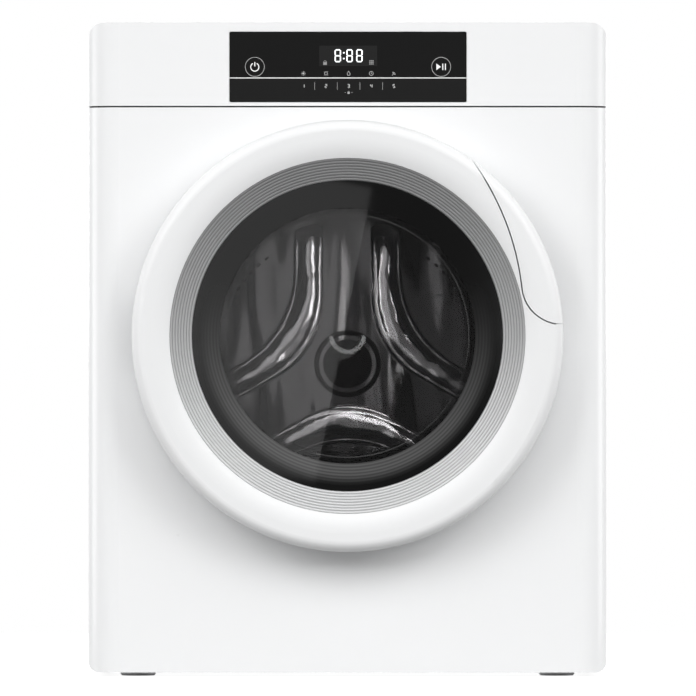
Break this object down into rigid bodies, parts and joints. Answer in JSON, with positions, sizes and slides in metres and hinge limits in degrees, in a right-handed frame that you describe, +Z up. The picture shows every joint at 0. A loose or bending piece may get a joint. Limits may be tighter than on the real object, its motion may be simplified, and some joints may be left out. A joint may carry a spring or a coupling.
{
  "type": "tumble dryer",
  "caption": "Compact vented tumble dryer with a round glass door, ribbed silver trim, a grip in the door ring, a belt-driven drum and a rear exhaust spigot.",
  "frame": {"origin": "on the floor, below the middle of the whole machine's box", "axes": "+Z up, the door faces -Y, +X to the right as one faces the door"},
  "size_m": [0.495, 0.478, 0.624],
  "materials": {
    "white_enamel": "gloss white baked enamel",
    "white_plastic": "gloss white moulded plastic",
    "inner_white": "satin off-white moulded plastic",
    "black_gloss": "polished black acrylic",
    "black_satin": "satin black plastic",
    "trim_silver": "satin chromed ribs",
    "tinted_glass": "grey tinted, printed black at the rim",
    "clear_glass": "clear pressed glass",
    "dark_plastic": "dark grey, fine texture",
    "drum_steel": "polished stainless sheet",
    "zinc_steel": "zinc plated sheet",
    "shaft_steel": "ground steel",
    "grey_plastic": "grey moulded plastic",
    "black_rubber": "ribbed black rubber",
    "grey_rubber": "soft grey rubber",
    "felt": "pressed wool felt",
    "filter_plastic": "blue grey frame with fine mesh",
    "motor_paint": "dark varnish on the stator housing",
    "can_aluminium": "drawn aluminium can",
    "board": "green board with dark parts",
    "bronze": "sintered bronze"
  },
  "bodies": {
    "cabinet": {"base_pan": "zinc_steel", "feet": "black_rubber", "side_panel_left": "white_enamel", "side_panel_right": "white_enamel", "front_panel": "white_enamel", "control_fascia": "white_plastic", "display_panel": "black_gloss", "key_strip": "black_satin", "control_board": "board", "top_cover": "white_plastic", "back_panel": "zinc_steel", "front_bulkhead": "inner_white", "front_felt": "felt", "drum_glides": "inner_white", "lint_filter": "filter_plastic", "lint_duct": "grey_plastic", "fan_housing": "grey_plastic", "exhaust_duct": "grey_plastic", "vent_collar": "inner_white", "motor_body": "motor_paint", "motor_bracket": "zinc_steel", "motor_capacitor": "can_aluminium", "power_board": "board", "cord_gland": "dark_plastic", "heater_box": "zinc_steel", "heater_element": "can_aluminium", "thermostats": "dark_plastic", "rear_bulkhead": "zinc_steel", "rear_felt": "felt", "bearing_housing": "grey_plastic", "drum_bush": "bronze", "door_switch": "dark_plastic", "door_magnet": "dark_plastic", "hinge_bracket": "zinc_steel", "hinge_pin": "shaft_steel", "drum_belt": "black_rubber"},
    "door": {"door_ring": "white_plastic", "door_handle": "white_plastic", "ribbed_ring": "trim_silver", "outer_pane": "tinted_glass", "glass_bowl": "clear_glass", "glass_retainer": "dark_plastic", "door_liner": "inner_white", "door_seal": "grey_rubber", "hinge_arm": "zinc_steel", "strike_plate": "zinc_steel"},
    "drum": {"drum_shell": "drum_steel", "drum_back": "drum_steel", "drum_vanes": "drum_steel", "drum_lifters": "drum_steel", "hub_cap": "dark_plastic", "drum_shaft": "shaft_steel"},
    "rotor": {"motor_shaft": "shaft_steel", "motor_pulley": "shaft_steel", "fan_wheel": "grey_plastic"},
    "idler_arm": {"idler_arm": "zinc_steel", "idler_spring": "shaft_steel"},
    "idler_pulley": {"idler_pulley": "grey_plastic"},
    "power_button": {"power_button": "black_gloss"},
    "start_button": {"start_button": "black_gloss"}
  },
  "joints": [
    {"name": "door_hinge", "type": "hinge", "parent": "cabinet", "child": "door", "pos_m": [-0.198, -0.216, 0.325], "axis": [0, 0, -1], "range_deg": [0, 110]},
    {"name": "drum_spin", "type": "hinge", "parent": "cabinet", "child": "drum", "pos_m": [0, 0, 0.298], "axis": [0, 1, 0], "continuous": true},
    {"name": "rotor_spin", "type": "hinge", "parent": "cabinet", "child": "rotor", "pos_m": [0.165, 0, 0.084], "axis": [0, 1, 0], "continuous": true},
    {"name": "idler_swing", "type": "hinge", "parent": "cabinet", "child": "idler_arm", "pos_m": [0.13, 0, 0.03], "axis": [0, -1, 0], "range_deg": [0, 10], "stiffness_Nm_per_rad": 1, "springref_deg": -20.05},
    {"name": "idler_spin", "type": "hinge", "parent": "idler_arm", "child": "idler_pulley", "pos_m": [0.09832, 0, 0.0562], "axis": [0, 1, 0], "continuous": true},
    {"name": "power_button_press", "type": "slide", "parent": "cabinet", "child": "power_button", "axis": [0, 1, 0], "range_m": [0, 0.0012], "stiffness_N_per_m": 800},
    {"name": "start_button_press", "type": "slide", "parent": "cabinet", "child": "start_button", "axis": [0, 1, 0], "range_m": [0, 0.0012], "stiffness_N_per_m": 800}
  ],
  "couplings": [
    {"joint": "rotor_spin", "follows": "drum_spin", "ratio": 21.094},
    {"joint": "idler_spin", "follows": "drum_spin", "ratio": -12.704}
  ]
}
